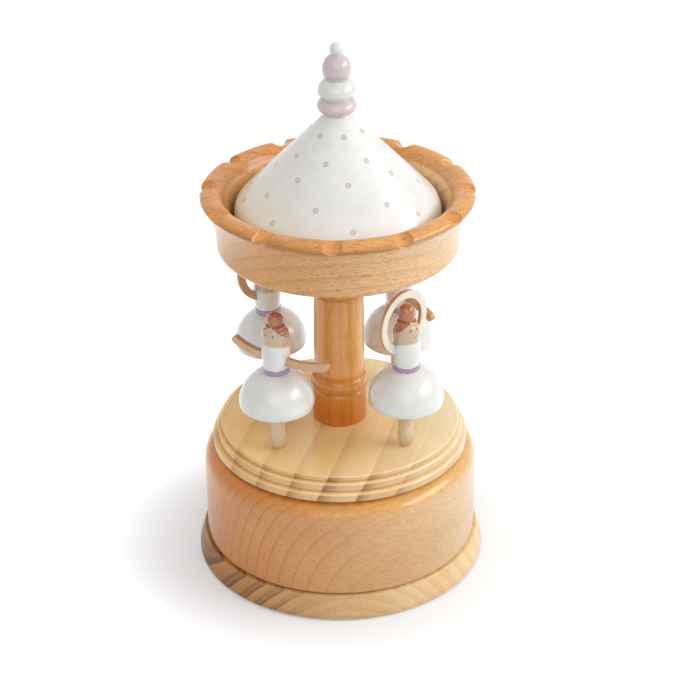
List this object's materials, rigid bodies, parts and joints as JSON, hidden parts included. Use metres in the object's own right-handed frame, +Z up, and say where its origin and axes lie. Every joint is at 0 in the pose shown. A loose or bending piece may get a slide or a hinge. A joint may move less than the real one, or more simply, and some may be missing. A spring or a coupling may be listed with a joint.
{
  "type": "musical carousel",
  "caption": "Wind-up wooden musical carousel: drum on a base plate, stepped turntable with dancers, column, scalloped canopy bowl, cone roof and bead finial.",
  "frame": {"origin": "centre of the foot of the base, on the floor", "axes": "+Z up along the column, -Y towards the camera of the picture, +X to its right"},
  "size_m": [0.12, 0.12, 0.225],
  "materials": {
    "pine": "satin lacquer over pine",
    "beech": "satin lacquer over beech",
    "plywood": "bare plywood",
    "white_gloss": "white gloss paint with pale lilac dots on turned wood",
    "bead_paint": "lilac and white gloss paint on turned wood",
    "dancer_paint": "painted turned wood",
    "skin_paint": "beige satin paint on wood",
    "felt": "thin cream felt",
    "nylon": "natural nylon",
    "brass": "machined brass",
    "zinc": "die-cast zinc",
    "steel": "bright steel"
  },
  "bodies": {
    "base": {"base_plate": "pine", "base_pad": "felt", "slip_ring": "nylon", "drive_flange": "zinc", "drive_flange_screws": "steel", "winding_arbor": "steel", "arbor_nut": "steel"},
    "case": {"drum": "beech", "drum_bush": "brass", "floor_board": "plywood", "floor_board_screws": "steel", "movement_screws": "steel", "thrust_washer": "nylon", "bedplate": "zinc", "comb": "steel", "comb_screws": "steel", "clutch_spring": "steel", "governor_frame": "steel", "governor_screws": "steel"},
    "carousel": {"turntable": "pine", "column": "beech", "canopy_bowl": "beech", "roof_cone": "white_gloss", "finial": "bead_paint", "turntable_hub": "zinc", "hub_screws": "steel", "output_shaft": "steel", "barrel_cup": "brass", "barrel_wheel": "brass", "mainspring": "steel", "back_right_dancer": "dancer_paint", "back_right_dancer_leg": "skin_paint", "back_left_dancer": "dancer_paint", "back_left_dancer_leg": "skin_paint", "front_left_dancer": "dancer_paint", "front_left_dancer_leg": "skin_paint", "front_right_dancer": "dancer_paint", "front_right_dancer_leg": "skin_paint", "back_right_dancer_left_arm": "skin_paint", "back_right_dancer_right_arm": "skin_paint", "front_left_dancer_left_arm": "skin_paint", "front_left_dancer_right_arm": "skin_paint", "back_left_dancer_arms": "skin_paint", "front_right_dancer_arms": "skin_paint"},
    "cylinder": {"pinned_cylinder": "brass", "cylinder_arbor": "steel", "cylinder_pinion": "brass", "cylinder_wheel": "brass"},
    "governor_wheel": {"worm_wheel": "brass", "governor_arbor": "steel", "governor_pinion": "brass"},
    "worm_shaft": {"worm": "steel", "governor_fan": "nylon"}
  },
  "joints": [
    {"name": "winding", "type": "hinge", "parent": "base", "child": "case", "pos_m": [0, 0, 0], "axis": [0, 0, -1], "range_deg": [0, 1260]},
    {"name": "carousel_turn", "type": "hinge", "parent": "case", "child": "carousel", "pos_m": [0, 0, 0], "axis": [0, 0, 1], "continuous": true},
    {"name": "cylinder_turn", "type": "hinge", "parent": "case", "child": "cylinder", "pos_m": [0.015, 0, 0.02735], "axis": [1, 0, 0], "continuous": true},
    {"name": "governor_turn", "type": "hinge", "parent": "case", "child": "governor_wheel", "pos_m": [0.035, -0.00745, 0.03249], "axis": [1, 0, 0], "continuous": true},
    {"name": "worm_turn", "type": "hinge", "parent": "case", "child": "worm_shaft", "pos_m": [0.0366, -0.014, 0.03], "axis": [0, 0, 1], "continuous": true}
  ],
  "couplings": [
    {"joint": "cylinder_turn", "follows": "carousel_turn", "ratio": 3},
    {"joint": "governor_turn", "follows": "carousel_turn", "ratio": -12},
    {"joint": "worm_turn", "follows": "carousel_turn", "ratio": -240}
  ]
}
